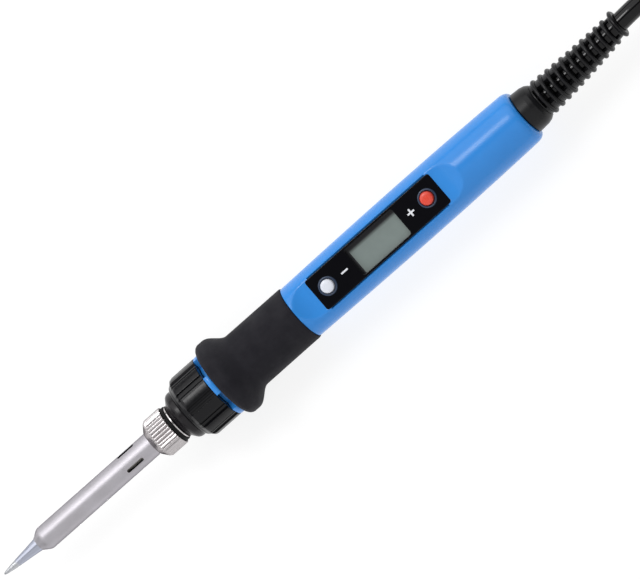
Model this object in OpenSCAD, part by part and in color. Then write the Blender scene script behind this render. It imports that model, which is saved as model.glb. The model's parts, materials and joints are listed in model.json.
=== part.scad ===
// Temperature-adjustable soldering iron with an LCD, laid along X:
// tip towards -X, mains cord towards +X, display facing +Z, floor at z = 0.

/* [Tip and barrel] */
// Diameter of the tinned working point
point_d = 1.4; // [1:0.1:2]
// Diameter of the tip where it enters the barrel
tip_d = 4.4; // [4:0.1:4.5]
// Outer diameter of the barrel tube
barrel_d = 8; // [7.8:0.1:8.2]
// Length of one cooling slot in the barrel
slot_length = 6.5; // [4:0.1:8]
// Width of one cooling slot
slot_width = 1.2; // [0.8:0.1:1.6]

/* [Nut] */
// Outside diameter of the knurled nut
nut_d = 13.9; // [13.4:0.1:14.2]
// Number of knurl ridges on the nut
nut_ridges = 36; // [32:1:44]
// Pitch of the nut's thread
thread_pitch = 0.75; // [0.5:0.25:0.75]

/* [Collar and grip] */
// Diameter of the ribbed collar
collar_d = 22.3; // [22:0.1:22.6]
// Number of raised lands round the collar
collar_lands = 12; // [8:1:14]
// Widest diameter of the grip's flared front
flare_d = 26.9; // [26:0.1:28]
// Diameter of the grip behind the flare
grip_d = 19.4; // [19:0.1:20]

/* [Housing] */
// Diameter of the housing where it meets the grip
housing_front_d = 18.6; // [18.4:0.1:19]
// Widest diameter of the housing
housing_mid_d = 19.4; // [19.2:0.1:19.8]
// Diameter of the housing just before its rounded end
housing_rear_d = 18.4; // [18.2:0.1:18.8]
// Height of the flat facet above the iron's centre line
facet_h = 7.3; // [7.2:0.05:7.35]

/* [Display] */
// Length of the black display panel
panel_length = 51.2; // [50:0.1:52]
// Width of the black display panel
panel_width = 11.4; // [11:0.1:11.5]
// Length of the window over the display
window_length = 19.7; // [16:0.1:20]
// Width of the window over the display
window_width = 9.8; // [8:0.1:9.9]
// Diameter of each push button
button_d = 4.3; // [4:0.1:4.5]
// How far each button travels when pressed
button_travel = 0.5; // [0.3:0.05:0.5]

/* [Cord] */
// Diameter of the mains cord
cord_d = 6.2; // [6:0.1:6.4]
// Number of rings on the strain relief
relief_rings = 11; // [8:1:11]

/* [Hidden] */
$fn = 64;

axis_z = flare_d / 2;
thin = 0.1;

// Stations along X
tip_x = -129;
point_end_x = -123.5;
nose_x = -114.7;
slot_x = -74.85;
nut_front_x = -66.8;
nut_rear_x = -58.4;
washer_front_x = -58.25;
ring_front_x = -57.2;
neck_front_x = -56.5;
collar_front_x = -52;
collar_rear_x = -40;
grip_front_x = -38;
flare_end_x = -34.4;
grip_waist_x = -27.6;
housing_front_x = -5.4;
housing_mid_x = 43.5;
housing_round_x = 84.8;
housing_rear_x = 87.8;
relief_base_x = 88;
relief_taper_x = 94;
relief_ring_x = 95.9;
relief_end_x = 128.4;
panel_x = 28.6;
window_x = 28.5;
minus_x = 7.9;
plus_x = 49.1;

// Fits and walls
barrel_bore_r = 3.3;
tip_shank_r = 3.2;
tip_bore_r = 2.1;
heater_r = 1.95;
flange_r = 5.2;
thread_r = 5.4;
thread_bore_r = 5.5;
sleeve_bore_r = 3.7;
bright_ring_r = 6.1;
washer_r = 6.35;
neck_r = 8.5;
neck_tail_r = 8;
tube_r = 8.2;
tube_bore_r = 6.6;
cavity_r = 7.9;
ceiling_h = 5.9;
panel_top_h = 7.5;
board_h = 0.7;
board_t = 1.2;
switch_top_h = 3.3;
housing_screw_x = 66.5;
housing_screw_y = 4.6;
clamp_x = 77;
clamp_screw_y = 5.6;
cord_r = cord_d / 2;

// Strain relief and the slight bend of the cord inside it
relief_pitch = 2.83;
relief_start_r = 6.3;
relief_end_r = 4.7;
relief_flange_r = 4.95;
relief_flange_t = 1.6;
bend_start_x = 91;
bend_y = 1.8;
function bend(x) = x < bend_start_x ? 0 : bend_y * pow((x - bend_start_x) / (relief_end_x - bend_start_x), 2);
function relief_r(x) = relief_start_r + (relief_end_r - relief_start_r) * (x - relief_ring_x)
  / (relief_pitch * 10);

// The cord's route from the strain relief down to the floor and into the hank
lead_route = [
  [128.4, 1.8, 13.5], [135, 2.1, 13.5], [141, 2.1, 13], [147, 1.5, 11.9], [153, 0.2, 10.2],
  [159, -1.9, 8.2], [165, -4.4, 6.3], [171, -6.8, 4.9], [177, -8.7, 4.1], [183, -9.8, 3.9],
  [190, -10, 3.9]
];
// The last stretch, from the top of the hank to the plug lying on it
plug_route = [
  [190, -10, 16.5], [196, -9.2, 16.6], [202, -7.1, 16.9], [208, -3.7, 17.6], [214, 0.6, 18.6],
  [220, 5, 19.7], [226, 9.1, 20.6], [232, 12.6, 21.1], [238, 14.5, 21.3], [244, 15, 21.3]
];
hank_near_x = 190;
hank_far_x = 283;
hank_y = 15;
hank_outer_r = 28.1;
hank_h = 19.7;
plug_seat_h = 14.4;
plug_x = 240;
plug_length = 37;
plug_w = 35.3;
plug_t = 13.7;
pin_r = 2;
pin_root_r = 1.7;
pin_length = 19;
pin_spacing = 19;
tie_x = 250;
tie_w = 15;
tie_t = 0.8;

// Turns an outline of [radius, x] points about the iron's centre line
module turned(points) {
  translate([0, 0, axis_z]) rotate([0, 90, 0]) rotate_extrude($fn = 96) polygon(points);
}

// A rod along X from x0 to x1, at y and at height h above the centre line
module rod_x(x0, x1, r, y = 0, h = 0) {
  translate([x0, y, axis_z + h]) rotate([0, 90, 0]) cylinder(h = x1 - x0, r = r);
}

// A rod along Z between two heights above the centre line
module rod_z(x, y, h0, h1, r) {
  translate([x, y, axis_z + h0]) cylinder(h = h1 - h0, r = r);
}

// A block centred on x and y, between two heights above the centre line
module block(x, y, length, width, h0, h1) {
  translate([x - length / 2, y - width / 2, axis_z + h0]) cube([length, width, h1 - h0]);
}

// A block with rounded upright edges
module rounded_block(x, y, length, width, h0, h1, r) {
  translate([x, y, axis_z + h0]) linear_extrude(h1 - h0) union() {
    square([length - 2 * r, width], center = true);
    square([length, width - 2 * r], center = true);
    for (sx = [-1, 1], sy = [-1, 1]) {
      translate([sx * (length / 2 - r), sy * (width / 2 - r)]) circle(r = r, $fn = 32);
    }
  }
}

// Places its children at an angle round the centre line, from +Z towards +Y
module around(angle) {
  translate([0, 0, axis_z]) rotate([-angle, 0, 0]) children();
}

// ---- sweeping a cord along its route ----

function unit(v) = v / norm(v);
function heading(route, i) = unit(route[min(i + 1, len(route) - 1)] - route[max(i - 1, 0)]);
function side(t) = unit(cross([0, 0, 1], t));
function ring_points(route, i, r, n) = let (t = heading(route, i), s = side(t), u = cross(t, s))
  [for (k = [0:n - 1]) route[i] + r * (cos(360 * k / n) * s + sin(360 * k / n) * u)];

module swept_cord(route, r, n = 12) {
  rings = len(route);
  points = [for (i = [0:rings - 1]) each ring_points(route, i, r, n)];
  walls = [for (i = [0:rings - 2], k = [0:n - 1])
    [i * n + k, (i + 1) * n + k, (i + 1) * n + (k + 1) % n, i * n + (k + 1) % n]];
  caps = [[for (k = [0:n - 1]) k], [for (k = [n - 1:-1:0]) (rings - 1) * n + k]];
  polyhedron(points, concat(walls, caps));
}

// ---- tip, barrel and nut ----

module tip() {
  color("lightsteelblue") turned([
    [0, tip_x], [point_d * 0.18, tip_x], [point_d * 0.36, tip_x + 0.7], [point_d / 2, tip_x + 1.8],
    [point_d * 0.68, tip_x + 3.6], [point_d * 0.84, point_end_x], [point_d * 1.22, point_end_x + 5],
    [tip_d / 2 - 0.05, nose_x - 0.5], [tip_d / 2, nose_x + 3.9], [tip_shank_r, nose_x + 3.9 + 0.9],
    [tip_shank_r, -85], [tip_bore_r, -85], [tip_bore_r, -109.5], [0, -109.5]
  ]);
}

module barrel() {
  barrel_r = barrel_d / 2;
  color("silver") difference() {
    turned([
      [2.35, nose_x], [2.6, nose_x], [3.1, nose_x + 0.7], [3.55, nose_x + 1.7],
      [3.85, nose_x + 2.6], [barrel_r, nose_x + 3.5], [barrel_r, nut_front_x - 0.2],
      [barrel_r + 0.05, -64.3], [flange_r, -64.3],
      [flange_r, -63], [barrel_bore_r, -63], [barrel_bore_r, nose_x + 3.7], [2.35, nose_x + 2.8]
    ]);
    for (angle = [-27:90:243]) {
      around(angle) translate([slot_x - slot_length / 2, -slot_width / 2, 0])
        cube([slot_length, slot_width, barrel_r + 1]);
    }
  }
}

module knurled_nut() {
  nut_r = nut_d / 2;
  ridge = 360 / nut_ridges;
  groove = 0.4;
  color("gainsboro") difference() {
    intersection() {
      turned([
        [0, nut_front_x], [4.5, nut_front_x], [nut_r - 0.5, nut_front_x + 1.6],
        [nut_r, nut_front_x + 2.3], [nut_r, nut_rear_x - 0.2], [nut_r - 0.2, nut_rear_x],
        [0, nut_rear_x]
      ]);
      translate([nut_front_x - 1, 0, axis_z]) rotate([0, 90, 0])
        linear_extrude(nut_rear_x - nut_front_x + 2) polygon([
          for (i = [0:nut_ridges - 1], e = [0, 0.35, 0.5, 0.85])
            let (r = e < 0.5 ? nut_r + 0.01 : nut_r - groove)
            [r * cos((i + e) * ridge), r * sin((i + e) * ridge)]
        ]);
    }
    rod_x(nut_front_x - 1, nut_rear_x + 1, barrel_d / 2 + 0.15);
    rod_x(-64.5, nut_rear_x + 1, thread_bore_r);
  }
}

module threaded_sleeve() {
  root_r = thread_r - 0.4;
  color("lightgray") turned(concat(
    [[sleeve_bore_r, -62.9], [root_r, -62.9]],
    [for (i = [0:5]) each [
      [thread_r, -62.6 + i * thread_pitch], [root_r, -62.6 + (i + 0.5) * thread_pitch]]],
    [[root_r, ring_front_x], [bright_ring_r, ring_front_x], [bright_ring_r, neck_front_x - thin],
      [thread_r, neck_front_x - thin], [thread_r, -44], [sleeve_bore_r, -44]]
  ));
}

module spacer_washer() {
  color("#141416") turned([
    [thread_r + 0.05, washer_front_x], [washer_r, washer_front_x], [washer_r, ring_front_x - thin],
    [thread_r + 0.05, ring_front_x - thin]
  ]);
}

module heater_element() {
  color("white") rod_x(-109.3, -50, heater_r);
}

module heater_collar() {
  color("ivory") turned([
    [heater_r + 0.02, -62.5], [sleeve_bore_r - 0.05, -62.5], [sleeve_bore_r - 0.05, -58.5],
    [heater_r + 0.02, -58.5]
  ]);
}

module heater_leads() {
  color("silver") for (y = [-1.2:0.8:1.2]) {
    rod_x(-50, -1, 0.3, y, -0.5);
  }
}

module lead_terminals() {
  color("green") difference() {
    block(2, 0, 6, 10, -3.2, board_h);
    for (y = [-3.6, -1.2, 1.2, 3.6]) {
      rod_z(3, y, -3.3, -2, 0.8);
    }
  }
}

// ---- neck, collar and grip ----

module front_neck() {
  color("#1c1c1f") turned([
    [thread_r + 0.05, neck_front_x], [5.7, neck_front_x], [6, neck_front_x + 0.4],
    [neck_r - 0.45, neck_front_x + 2], [neck_r - 0.1, neck_front_x + 2.6], [neck_r, neck_front_x + 3.2],
    [neck_r, collar_front_x - thin], [neck_tail_r, collar_front_x - thin], [neck_tail_r, -42],
    [thread_r + 0.05, -42]
  ]);
}

module ribbed_collar() {
  collar_r = collar_d / 2;
  land = 360 / collar_lands;
  color("#18181a") difference() {
    turned([
      [neck_tail_r + 0.05, collar_front_x], [9, collar_front_x], [9.5, collar_front_x + 0.3],
      [10.5, collar_front_x + 1.5], [11, collar_front_x + 2.4], [collar_r, collar_front_x + 3.2],
      [collar_r, collar_rear_x], [neck_tail_r + 0.05, collar_rear_x]
    ]);
    for (i = [0:collar_lands - 1], s = [-1, 1]) {
      around(8 + (i + 0.5) * land + s * 4) translate([collar_front_x + 1.8, -0.5, collar_r - 0.6])
        cube([collar_rear_x - collar_front_x, 1, 2]);
    }
  }
}

module grip_sleeve() {
  flare_r = flare_d / 2;
  grip_r = grip_d / 2;
  front_r = 11.2;
  rise = flare_r - front_r;
  color("#2b2a30") turned(concat(
    [[tube_r + 0.1, grip_front_x]],
    [for (a = [0:15:90]) [front_r + rise * sin(a), grip_front_x + 2 * (1 - cos(a))]],
    [for (i = [0:10])
      [grip_r + (flare_r - grip_r) * (1 + cos(18 * i)) / 2,
        flare_end_x + (grip_waist_x - flare_end_x) * i / 10]],
    [[grip_r - 0.05, housing_front_x - thin], [tube_r + 0.1, housing_front_x - thin]]
  ));
}

// ---- housing ----

function housing_r(x) = let (
    end_d = x < housing_mid_x ? housing_front_d : housing_rear_d,
    end_x = x < housing_mid_x ? housing_front_x : housing_round_x,
    part = (x - housing_mid_x) / (end_x - housing_mid_x))
  (housing_mid_d - (housing_mid_d - end_d) * part * part) / 2;

module housing_solid() {
  end_r = housing_r(housing_round_x);
  turned(concat(
    [[tube_bore_r, collar_rear_x + thin], [tube_r, collar_rear_x + thin], [tube_r, housing_front_x]],
    [for (i = [0:6])
      let (x = housing_front_x + i * (housing_mid_x - housing_front_x) / 6) [housing_r(x), x]],
    [for (i = [1:5])
      let (x = housing_mid_x + i * (housing_round_x - housing_mid_x) / 5) [housing_r(x), x]],
    [for (a = [30:30:90]) [end_r - 1.6 * (1 - cos(a)), housing_round_x + 3 * sin(a)]],
    [[6, housing_rear_x], [6, 84.5], [cavity_r, 84.5], [cavity_r, -3], [tube_bore_r, -3]]
  ));
}

module blue_tab(angle, spread) {
  inner_r = tube_r - 0.5;
  outer_r = collar_d / 2;
  translate([collar_rear_x + thin, 0, axis_z]) rotate([0, 90, 0])
    linear_extrude(grip_front_x - collar_rear_x - 2 * thin) polygon(concat(
      [for (a = [-spread:spread / 3:spread]) outer_r * [-cos(angle + a), sin(angle + a)]],
      [for (a = [spread:-spread / 3:-spread]) inner_r * [-cos(angle + a), sin(angle + a)]]
    ));
}

module facet_cut() {
  ramp_r = 12;
  flat_x0 = panel_x - panel_length / 2 - 1.4;
  flat_x1 = panel_x + panel_length / 2 + 0.7;
  translate([flat_x0, -15, axis_z + facet_h]) cube([flat_x1 - flat_x0, 30, 20]);
  for (x = [flat_x0, flat_x1]) {
    translate([x, 15, axis_z + facet_h + ramp_r]) rotate([90, 0, 0]) cylinder(h = 30, r = ramp_r);
  }
}

module housing() {
  difference() {
    union() {
      housing_solid();
      for (angle = [3, 183]) {
        blue_tab(angle, 16.5);
      }
      for (angle = [93, 273]) {
        blue_tab(angle, 36);
      }
      intersection() {
        rod_x(-3, 62, cavity_r + 0.5);
        block(29.5, 0, 65, 20, ceiling_h, 10);
      }
    }
    facet_cut();
    rounded_block(panel_x, 0, panel_length + 0.2, panel_width + 0.2, ceiling_h, 12, 0.8);
  }
}

module housing_top() {
  color("#3e8fe0") difference() {
    union() {
      intersection() {
        housing();
        block(25, 0, 140, 40, 0, 20);
      }
      for (s = [-1, 1]) {
        intersection() {
          rod_z(housing_screw_x, s * housing_screw_y, 0, 9, 2);
          rod_x(housing_screw_x - 3, housing_screw_x + 3, cavity_r + 0.5);
        }
        block(57.5, s * 4.5, 1.6, 1.4, board_h + board_t + 0.05, 6.2);
      }
    }
    for (s = [-1, 1]) {
      rod_z(housing_screw_x, s * housing_screw_y, -1, 5, 1.02);
    }
  }
}

module housing_bottom() {
  color("#3e8fe0") difference() {
    union() {
      intersection() {
        housing();
        block(25, 0, 140, 40, -20, 0);
      }
      for (s = [-1, 1]) {
        rod_z(housing_screw_x, s * housing_screw_y, -6.6, 0, 2);
        block(6.5, s * 6, 2, 1.2, -6, board_h - 0.05);
        block(59, s * 6, 2, 1.2, -6, board_h - 0.05);
      }
      intersection() {
        rod_x(clamp_x - 3.5, clamp_x + 3.5, cavity_r + 0.5);
        block(clamp_x, 0, 7, 20, -10, 0);
      }
    }
    for (s = [-1, 1]) {
      rod_z(housing_screw_x, s * housing_screw_y, -10, 1, 1.1);
      rod_z(housing_screw_x, s * housing_screw_y, -10, -5.3, 2);
      rod_z(clamp_x, s * clamp_screw_y, -4.6, 1, 0.92);
    }
    rod_x(clamp_x - 4, clamp_x + 4, cord_r + 0.05);
  }
}

// ---- display and controls ----

module display_panel() {
  hole_r = button_d / 2 + 0.2;
  color("#0d0d12") difference() {
    union() {
      rounded_block(panel_x, 0, panel_length, panel_width, ceiling_h, panel_top_h, 0.8);
      for (x = [minus_x, plus_x]) {
        rod_z(x, 0, ceiling_h, panel_top_h + 0.5, 3.05);
      }
    }
    for (x = [minus_x, plus_x]) {
      rod_z(x, 0, 5, 9, hole_r);
    }
    rounded_block(window_x, 0, window_length, window_width, 5, 9, 0.8);
  }
}

module lcd_glass() {
  color("#7f8a86") block(window_x, 0, 20.8, 10.3, 4.1, 5.7);
}

module lcd_backlight() {
  color("whitesmoke") block(window_x, 0, 21.4, 11, board_h + board_t, 4.1);
}

module button(x) {
  button_r = button_d / 2;
  translate([x, 0, axis_z]) rotate_extrude() polygon([
    [0, 3.95], [1.2, 3.95], [1.2, 5], [2.9, 5], [2.9, 5.8], [button_r, 5.8], [button_r, 8.8],
    [button_r - 0.3, 9.1], [0, 9.2]
  ]);
}

module minus_button() {
  color("#e8eef8") button(minus_x);
}

module plus_button() {
  color("#f0503f") button(plus_x);
}

module plunger(x) {
  rod_z(x, 0, switch_top_h - button_travel + 0.1, 3.9, 0.9);
}

module minus_plunger() {
  color("ivory") plunger(minus_x);
}

module plus_plunger() {
  color("ivory") plunger(plus_x);
}

module tact_switch(x) {
  difference() {
    block(x, 0, 6, 6, board_h + board_t, switch_top_h);
    rod_z(x, 0, switch_top_h - 1.05, 5, 1);
  }
}

module minus_switch() {
  color("dimgray") tact_switch(minus_x);
}

module plus_switch() {
  color("dimgray") tact_switch(plus_x);
}

module circuit_board() {
  color("darkgreen") block(31.75, 0, 58.5, 13.4, board_h, board_h + board_t);
}

module controller_chip() {
  color("#202020") block(25, 0, 9.9, 3.9, -0.8, board_h - 0.05);
  color("silver") for (x = [21.2:1.27:29.2], s = [-1, 1]) {
    block(x, s * 2.35, 0.4, 0.8, 0.3, board_h);
  }
}

module electrolytic_capacitor() {
  color("#25304a") rod_x(8.5, 19.5, 3.15, 0, -2.6);
}

module film_capacitor() {
  color("gold") rounded_block(37.5, 0, 13, 5.5, -5.3, board_h, 0.8);
}

module triac() {
  color("#222222") union() {
    block(49.3, 0, 8.4, 10, -3.8, board_h);
    block(55, 0, 3.2, 10, -0.6, board_h);
  }
}

module wire(y) {
  rod_x(58.7, 72, 0.7, y);
}

module live_wire() {
  color("saddlebrown") wire(1.5);
}

module neutral_wire() {
  color("royalblue") wire(-1.5);
}

module earth_wire() {
  color("yellowgreen") wire(0);
}

// ---- cord entry ----

module cord_clamp() {
  color("#303034") difference() {
    union() {
      intersection() {
        rod_x(clamp_x - 2.5, clamp_x + 2.5, cord_r + 1.3);
        block(clamp_x, 0, 6, 20, 0.1, 10);
      }
      block(clamp_x, 0, 5, 14, 0.1, 1.7);
    }
    rod_x(clamp_x - 4, clamp_x + 4, cord_r + 0.02);
    for (s = [-1, 1]) {
      rod_z(clamp_x, s * clamp_screw_y, -1, 3, 1);
    }
  }
}

module clamp_screws() {
  color("silver") for (s = [-1, 1]) {
    rod_z(clamp_x, s * clamp_screw_y, -4.5, 1.75, 0.9);
    rod_z(clamp_x, s * clamp_screw_y, 1.7, 3, 1.35);
  }
}

module housing_screws() {
  color("silver") for (s = [-1, 1]) {
    difference() {
      union() {
        rod_z(housing_screw_x, s * housing_screw_y, -5.35, 4.8, 1);
        rod_z(housing_screw_x, s * housing_screw_y, -6.8, -5.3, 1.8);
      }
      block(housing_screw_x, s * housing_screw_y, 2.4, 0.5, -7, -6.2);
      block(housing_screw_x, s * housing_screw_y, 0.5, 2.4, -7, -6.2);
    }
  }
}

module strain_relief() {
  gap = 1.6;
  color("#1a1a1c") difference() {
    union() {
      turned([
        [0, 82.7], [7.3, 82.7], [7.3, 84.4], [5.9, 84.4], [5.9, relief_base_x],
        [7.25, relief_base_x], [7.1, relief_base_x + 3.5], [6.8, relief_base_x + 4.8],
        [6.2, relief_taper_x], [0, relief_taper_x]
      ]);
      for (i = [-0.5:1:relief_rings]) {
        x = relief_ring_x + i * relief_pitch;
        rod_x(x - 0.52 * relief_pitch, x + 0.52 * relief_pitch, relief_r(x) - 0.7, bend(x));
      }
      for (i = [0:relief_rings - 1]) {
        x = relief_ring_x + i * relief_pitch;
        rod_x(x - 0.6, x + 0.6, relief_r(x), bend(x));
      }
      rod_x(relief_end_x - relief_flange_t, relief_end_x, relief_flange_r, bend_y);
    }
    rod_x(80, relief_taper_x, cord_r + 0.05);
    for (i = [-0.5:1:relief_rings + 1]) {
      x = relief_ring_x + i * relief_pitch;
      rod_x(x - 0.52 * relief_pitch, x + 0.52 * relief_pitch, cord_r + 0.05, bend(x));
    }
    for (i = [-0.5:1:relief_rings]) {
      x = relief_ring_x + i * relief_pitch;
      block(x, bend(x), gap, 5.6, -8, 8);
    }
  }
}

module inner_cord() {
  route = concat([[72, 0, axis_z], [82, 0, axis_z]],
    [for (i = [0:8]) let (x = bend_start_x + i * (relief_end_x - bend_start_x) / 8) [x, bend(x), axis_z]]);
  color("#101012") swept_cord(route, cord_r, 20);
}

// ---- free cord, hank and plug ----

module cord_lead() {
  color("#101012") swept_cord(lead_route, cord_r);
}

module cord_hank() {
  length = hank_far_x - hank_near_x;
  color("#101012") difference() {
    union() {
      translate([hank_near_x, hank_y - hank_outer_r, 0]) cube([length, 2 * hank_outer_r, hank_h]);
      for (x = [hank_near_x, hank_far_x]) {
        translate([x, hank_y, 0]) cylinder(h = hank_h, r = hank_outer_r);
      }
    }
    translate([plug_x - 8, hank_y - 18.5, plug_seat_h]) cube([72, 37, 20]);
    translate([tie_x, hank_y - 40, -1]) cube([tie_w, 80, 1 + tie_t]);
    for (s = [-1, 1]) {
      translate([tie_x, hank_y + s * (hank_outer_r + 5 - tie_t) - 5, -1]) cube([tie_w, 10, 40]);
    }
    translate([tie_x, hank_y - 40, hank_h - tie_t]) cube([tie_w, 80, 10]);
  }
}

module plug_lead() {
  color("#101012") swept_cord([for (p = plug_route) if (p[0] <= plug_x) p], cord_r);
}

module hank_tie() {
  side_r = hank_outer_r;
  top_w = plug_w / 2 - 1;
  top_h = plug_seat_h + plug_t;
  outline = [[-side_r, 0], [side_r, 0], [side_r, hank_h], [top_w, top_h + tie_t], [-top_w, top_h + tie_t],
    [-side_r, hank_h]];
  hollow = [[-side_r + tie_t, tie_t], [side_r - tie_t, tie_t], [side_r - tie_t, hank_h - tie_t],
    [top_w, top_h], [-top_w, top_h], [-side_r + tie_t, hank_h - tie_t]];
  color("#202022") translate([tie_x, hank_y, 0]) rotate([90, 0, 90]) linear_extrude(tie_w)
    difference() {
      polygon(outline);
      polygon(hollow);
    }
}

module plug_body() {
  half = plug_w / 2;
  color("#141416") difference() {
    intersection() {
      translate([plug_x, hank_y, plug_seat_h]) linear_extrude(plug_t) polygon([
        [0, -6.5], [4, -7.5], [22, -half], [plug_length, -half], [plug_length, half],
        [22, half], [4, 7.5], [0, 6.5]
      ]);
      translate([plug_x - 1, hank_y, plug_seat_h]) rotate([90, 0, 90])
        linear_extrude(plug_length + 2) polygon([
          [-half + 1, 0], [half - 1, 0], [half, 4], [half, plug_t - 4], [half - 3, plug_t],
          [-half + 3, plug_t], [-half, plug_t - 4], [-half, 4]
        ]);
    }
    for (s = [-1, 1]) {
      translate([plug_x + plug_length - 8, hank_y + s * pin_spacing / 2, plug_seat_h + plug_t / 2])
        rotate([0, 90, 0]) cylinder(h = 10, r = pin_root_r + 0.02);
    }
  }
}

module plug_pins() {
  color("silver") for (s = [-1, 1]) {
    translate([plug_x + plug_length - 7.9, hank_y + s * pin_spacing / 2, plug_seat_h + plug_t / 2])
      rotate([0, 90, 0]) union() {
        cylinder(h = 7.92, r = pin_root_r);
        translate([0, 0, 7.92]) cylinder(h = pin_length - 1.22, r = pin_r);
        translate([0, 0, pin_length + 6.7]) cylinder(h = 1.2, r1 = pin_r, r2 = pin_r - 0.8);
      }
  }
}

tip();
barrel();
knurled_nut();
threaded_sleeve();
heater_element();
heater_collar();
heater_leads();
lead_terminals();
spacer_washer();
front_neck();
ribbed_collar();
grip_sleeve();
housing_top();
housing_bottom();
display_panel();
lcd_glass();
lcd_backlight();
minus_button();
plus_button();
minus_plunger();
plus_plunger();
minus_switch();
plus_switch();
circuit_board();
controller_chip();
electrolytic_capacitor();
film_capacitor();
triac();
live_wire();
neutral_wire();
earth_wire();
cord_clamp();
clamp_screws();
housing_screws();
strain_relief();
inner_cord();
cord_lead();
cord_hank();
plug_lead();
hank_tie();
plug_body();
plug_pins();
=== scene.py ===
import json
import math

import bmesh
import bpy
from mathutils import Matrix, Vector


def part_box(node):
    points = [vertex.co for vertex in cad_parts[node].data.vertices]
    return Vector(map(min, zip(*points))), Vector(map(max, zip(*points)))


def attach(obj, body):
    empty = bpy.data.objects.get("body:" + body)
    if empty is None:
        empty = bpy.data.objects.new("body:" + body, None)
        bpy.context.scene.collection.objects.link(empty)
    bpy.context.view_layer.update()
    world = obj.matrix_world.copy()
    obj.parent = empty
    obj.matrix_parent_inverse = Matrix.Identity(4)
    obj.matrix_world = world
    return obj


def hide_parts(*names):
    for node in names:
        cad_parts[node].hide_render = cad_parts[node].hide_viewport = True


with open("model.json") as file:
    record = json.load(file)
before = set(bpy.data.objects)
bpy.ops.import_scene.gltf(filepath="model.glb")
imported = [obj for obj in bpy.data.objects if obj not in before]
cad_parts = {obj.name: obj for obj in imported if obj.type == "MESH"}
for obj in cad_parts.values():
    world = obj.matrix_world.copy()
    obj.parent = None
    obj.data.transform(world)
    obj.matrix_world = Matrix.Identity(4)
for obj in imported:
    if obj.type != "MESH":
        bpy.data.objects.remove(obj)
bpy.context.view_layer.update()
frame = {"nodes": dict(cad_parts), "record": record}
mm = 0.001
nodes = frame["nodes"]
tipLow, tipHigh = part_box("tip")
axisZ = (tipLow.z + tipHigh.z) / 2  # height of the iron's centre line
print("frame loaded,", len(nodes), "nodes")


# Camera, light and floor

view = {
    "tilt": 11.0,  # degrees from straight down, towards the cord
    "lean": 4.0,  # degrees towards the side with the minus Y shell
    "turn": 41.5,  # degrees that the iron points up from the frame's bottom edge
    "distance": 6.0,  # past about 8.5 the side views lose the iron beyond their clipping distance
    "frameWidth": 0.1957,  # metres that the frame covers, side to side
    "aim": (0.0039, 0.0013, axisZ),
}


def makeCamera():
    data = bpy.data.cameras.new("studioCamera")
    data.sensor_width = 36.0
    data.lens = 36.0 * view["distance"] / view["frameWidth"]
    data.clip_end = 20.0
    camera = bpy.data.objects.new("studioCamera", data)
    bpy.context.scene.collection.objects.link(camera)
    tilt, lean, turn = (math.radians(view[k]) for k in ("tilt", "lean", "turn"))
    back = Vector((math.sin(tilt), -math.cos(tilt) * math.sin(lean), math.cos(tilt) * math.cos(lean)))
    along = (Vector((1, 0, 0)) - back * back.x).normalized()
    across = back.cross(along)
    right = along * math.cos(turn) - across * math.sin(turn)
    up = along * math.sin(turn) + across * math.cos(turn)
    spin = Matrix((right, up, back)).transposed().to_4x4()
    camera.matrix_world = Matrix.Translation(Vector(view["aim"]) + back * view["distance"]) @ spin
    bpy.context.scene.camera = camera


def makeLight(name, place, size, watts):
    data = bpy.data.lights.new(name, "AREA")
    data.shape = "RECTANGLE"
    data.size, data.size_y = size
    data.energy = watts
    light = bpy.data.objects.new(name, data)
    bpy.context.scene.collection.objects.link(light)
    back = Vector(place).normalized()
    along = (Vector((1, 0, 0)) - back * back.x).normalized()
    spin = Matrix((along, back.cross(along), back)).transposed().to_4x4()
    light.matrix_world = Matrix.Translation(place) @ spin


def hexColour(code, alpha=1.0):
    channels = [int(code[i:i + 2], 16) / 255 for i in (1, 3, 5)]
    return (*[c / 12.92 if c <= 0.04045 else ((c + 0.055) / 1.055) ** 2.4 for c in channels], alpha)


def addNode(tree, kind, wires=None, **settings):
    node = tree.nodes.new(kind)
    for key, value in settings.items():
        setattr(node, key, value)
    for key, value in (wires or {}).items():
        if isinstance(value, bpy.types.NodeSocket):
            tree.links.new(value, node.inputs[key])
        else:
            node.inputs[key].default_value = value
    return node


def maths(tree, operation, *values):
    return addNode(tree, "ShaderNodeMath", dict(enumerate(values)), operation=operation).outputs[0]


def startMaterial(name):
    material = bpy.data.materials.new(name)
    material.use_nodes = True
    tree = material.node_tree
    tree.nodes.clear()
    shader = addNode(tree, "ShaderNodeBsdfPrincipled")
    addNode(tree, "ShaderNodeOutputMaterial", {"Surface": shader.outputs[0]})
    place = addNode(tree, "ShaderNodeTexCoord").outputs["Object"]
    return material, tree, shader, place


softboxes = {  # place, size and watts
    "keySoftbox": ((-0.1, 0.743, 0.682), (2.0, 1.2), 9.8),
    "fillSoftbox": ((-0.1, -0.695, 0.733), (2.0, 1.87), 7.6),
    "streakSoftbox": ((-0.15, 0.487, 0.816), (0.24, 0.24), 1.5),
    "endSoftbox": ((-1.25, 0.0, 0.62), (1.2, 0.8), 1.8),
}
makeCamera()
for softboxName, (softboxPlace, softboxSize, softboxWatts) in softboxes.items():
    makeLight(softboxName, softboxPlace, softboxSize, softboxWatts)
world = bpy.data.worlds.new("studioWorld")
bpy.context.scene.world = world
world.use_nodes = True
world.node_tree.nodes["Background"].inputs[0].default_value = (1, 1, 1, 1)
world.node_tree.nodes["Background"].inputs[1].default_value = 0.12
bpy.context.scene.view_settings.view_transform = "Standard"

floorMesh = bpy.data.meshes.new("studioFloor")
floorReach = 12  # metres each way, so low views see no edge
floorCorners = [(sx * floorReach, sy * floorReach, 0) for sx, sy in ((-1, -1), (1, -1), (1, 1), (-1, 1))]
floorMesh.from_pydata(floorCorners, [], [(0, 1, 2, 3)])
floor = bpy.data.objects.new("studioFloor", floorMesh)
bpy.context.scene.collection.objects.link(floor)
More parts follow.
